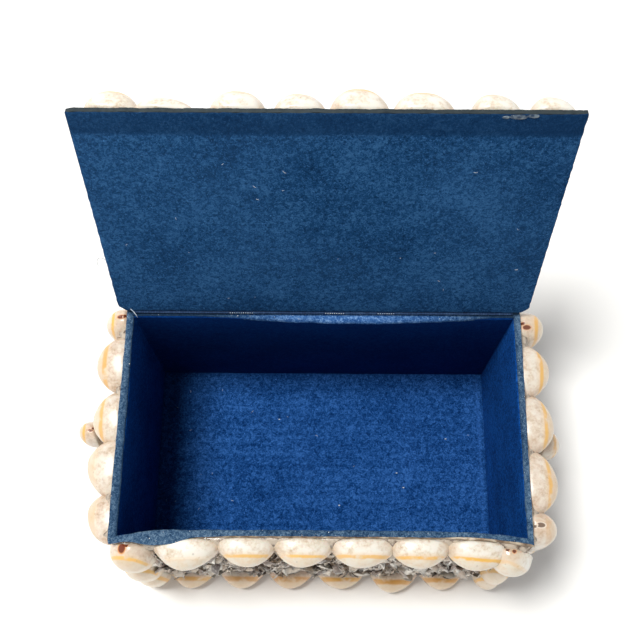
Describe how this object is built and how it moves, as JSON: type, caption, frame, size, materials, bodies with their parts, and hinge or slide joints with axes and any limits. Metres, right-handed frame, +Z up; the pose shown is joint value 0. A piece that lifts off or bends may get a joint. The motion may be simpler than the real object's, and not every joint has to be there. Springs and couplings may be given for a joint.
{
  "type": "shell box",
  "caption": "Rectangular card trinket box lined with blue felt, covered outside with ring cowries and broken shell, its hinged lid standing open.",
  "frame": {"origin": "middle of the card tray's underside, where the box rests", "axes": "+X to the right along the box's width, +Y to the hinge at the back, +Z up; the front faces -Y"},
  "size_m": [0.1996, 0.1469, 0.1846],
  "materials": {
    "grey_card": "raw edge, matt",
    "blue_felt": "flocked felt",
    "rim_felt": "worn felt edge",
    "hinge_cloth": "woven cloth",
    "cowrie_shell": "glossy",
    "broken_shell": "rough, partly glossy"
  },
  "bodies": {
    "box": {"card_tray": "grey_card", "felt_lining": "blue_felt", "rim_felt_strip": "rim_felt", "hinge_cloth_roll": "hinge_cloth", "shell_bed_front": "broken_shell", "shell_bed_back": "broken_shell", "shell_bed_left": "broken_shell", "shell_bed_right": "broken_shell", "cowrie_front_top_1": "cowrie_shell", "cowrie_front_top_2": "cowrie_shell", "cowrie_front_top_3": "cowrie_shell", "cowrie_front_top_4": "cowrie_shell", "cowrie_front_top_5": "cowrie_shell", "cowrie_front_top_6": "cowrie_shell", "cowrie_front_bottom_1": "cowrie_shell", "cowrie_front_bottom_2": "cowrie_shell", "cowrie_front_bottom_3": "cowrie_shell", "cowrie_front_bottom_4": "cowrie_shell", "cowrie_front_bottom_5": "cowrie_shell", "cowrie_front_bottom_6": "cowrie_shell", "cowrie_front_left_1": "cowrie_shell", "cowrie_front_left_2": "cowrie_shell", "cowrie_front_left_3": "cowrie_shell", "cowrie_front_right_1": "cowrie_shell", "cowrie_front_right_2": "cowrie_shell", "cowrie_front_right_3": "cowrie_shell", "cowrie_left_top_1": "cowrie_shell", "cowrie_left_top_2": "cowrie_shell", "cowrie_left_top_3": "cowrie_shell", "cowrie_right_top_1": "cowrie_shell", "cowrie_right_top_2": "cowrie_shell", "cowrie_right_top_3": "cowrie_shell", "cowrie_left_centre": "cowrie_shell", "cowrie_right_centre": "cowrie_shell", "cowries_left_front_column": "cowrie_shell", "cowries_left_back_column": "cowrie_shell", "cowries_left_bottom": "cowrie_shell", "cowries_right_front_column": "cowrie_shell", "cowries_right_back_column": "cowrie_shell", "cowries_right_bottom": "cowrie_shell", "cowries_back_top": "cowrie_shell", "cowries_back_bottom": "cowrie_shell"},
    "lid": {"lid_board": "grey_card", "lid_felt_lining": "blue_felt", "shell_bed_lid": "broken_shell", "cowrie_lid_front_1": "cowrie_shell", "cowrie_lid_front_2": "cowrie_shell", "cowrie_lid_front_3": "cowrie_shell", "cowrie_lid_front_4": "cowrie_shell", "cowrie_lid_front_5": "cowrie_shell", "cowrie_lid_front_6": "cowrie_shell", "cowrie_lid_front_7": "cowrie_shell", "cowrie_lid_front_8": "cowrie_shell", "cowries_lid_back": "cowrie_shell", "cowries_lid_left": "cowrie_shell", "cowries_lid_right": "cowrie_shell", "cowries_lid_rosette": "cowrie_shell"}
  },
  "joints": [
    {"name": "lid_hinge", "type": "hinge", "parent": "box", "child": "lid", "pos_m": [0, 0.0459, 0.0856], "axis": [1, 0, 0], "range_deg": [0, 108]}
  ]
}
